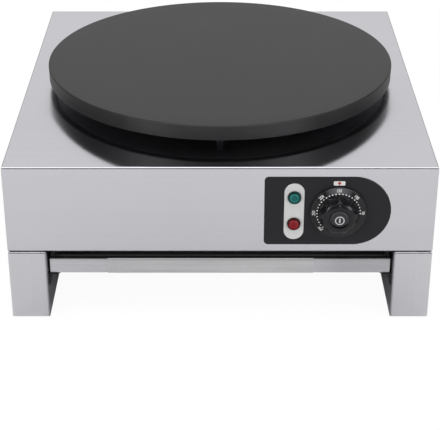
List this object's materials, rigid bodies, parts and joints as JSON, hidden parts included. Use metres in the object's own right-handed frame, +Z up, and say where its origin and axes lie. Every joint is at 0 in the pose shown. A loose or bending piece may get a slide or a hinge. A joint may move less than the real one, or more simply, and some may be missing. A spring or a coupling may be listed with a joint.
{
  "type": "crepe maker",
  "caption": "Countertop electric crepe maker: round cast-iron plate on posts over a brushed steel housing with box legs, crumb drawer, dial thermostat and signal lamps.",
  "frame": {"origin": "middle of the footprint, on the table that the feet stand on", "axes": "+Z up, -Y towards the user and the controls, +X to the user's right"},
  "size_m": [0.45, 0.5324, 0.2082],
  "materials": {
    "housing_steel": "satin brushed stainless steel",
    "pan_steel": "dull steel",
    "leg_steel": "satin brushed stainless steel",
    "pad_rubber": "matt black rubber",
    "rail_steel": "plain steel",
    "fastener_steel": "zinc plated",
    "drawer_steel": "satin brushed stainless steel",
    "pull_steel": "satin brushed stainless steel",
    "plate_iron": "machined, seasoned dark",
    "element_steel": "heat-dulled steel sheath",
    "insulation_fibre": "white ceramic fibre board",
    "shield_steel": "aluminised steel",
    "post_steel": "turned steel",
    "bush_ceramic": "white ceramic",
    "sensor_copper": "copper",
    "fascia_black": "matt black",
    "lamp_white": "off-white",
    "lens_green": "clear-tinted green",
    "lens_red": "clear-tinted red",
    "lamp_case": "natural nylon",
    "thermostat_case": "ceramic and steel",
    "shaft_steel": "turned steel",
    "knob_black": "moulded black",
    "cap_black": "satin black",
    "tab_white": "off-white with a red mark",
    "block_ivory": "ivory moulding",
    "terminal_brass": "bright brass",
    "wire_brown": "silicone insulation",
    "wire_blue": "silicone insulation",
    "wire_green": "silicone insulation",
    "gland_black": "black nylon",
    "seal_rubber": "black rubber"
  },
  "bodies": {
    "cooker": {"housing_shell": "housing_steel", "base_pan": "pan_steel", "left_leg": "leg_steel", "right_leg": "leg_steel", "foot_pads": "pad_rubber", "left_rail": "rail_steel", "right_rail": "rail_steel", "rail_rivets": "fastener_steel", "base_screws": "fastener_steel", "base_nuts": "fastener_steel", "griddle_plate": "plate_iron", "heating_element": "element_steel", "insulation_disc": "insulation_fibre", "heat_shield": "shield_steel", "plate_studs": "fastener_steel", "post_sleeves": "post_steel", "plate_washers": "fastener_steel", "plate_nuts": "fastener_steel", "terminal_bushes": "bush_ceramic", "sensor_bulb": "sensor_copper", "sensor_clip": "shield_steel", "clip_screws": "fastener_steel", "capillary_tube": "sensor_copper", "control_fascia": "fascia_black", "lamp_plate": "lamp_white", "green_lens": "lens_green", "red_lens": "lens_red", "lamp_bodies": "lamp_case", "lamp_nuts": "gland_black", "thermostat_body": "thermostat_case", "thermostat_screws": "fastener_steel", "pointer_tab": "tab_white", "terminal_block": "block_ivory", "terminal_screws": "terminal_brass", "live_wires": "wire_brown", "neutral_wires": "wire_blue", "earth_wire": "wire_green", "earth_stud": "fastener_steel", "earth_nut": "terminal_brass", "cable_gland": "gland_black", "gland_seal": "seal_rubber", "gland_nut": "gland_black", "gland_locknut": "gland_black"},
    "drawer": {"drawer_tray": "drawer_steel", "drawer_pull": "pull_steel"},
    "dial": {"dial_knob": "knob_black", "knob_cap": "cap_black", "thermostat_shaft": "shaft_steel"}
  },
  "joints": [
    {"name": "drawer_slide", "type": "slide", "parent": "cooker", "child": "drawer", "axis": [0, -1, 0], "range_m": [0, 0.34]},
    {"name": "dial_turn", "type": "hinge", "parent": "cooker", "child": "dial", "pos_m": [0.123, -0.2446, 0.1308], "axis": [0, 1, 0], "range_deg": [-135, 135]}
  ]
}
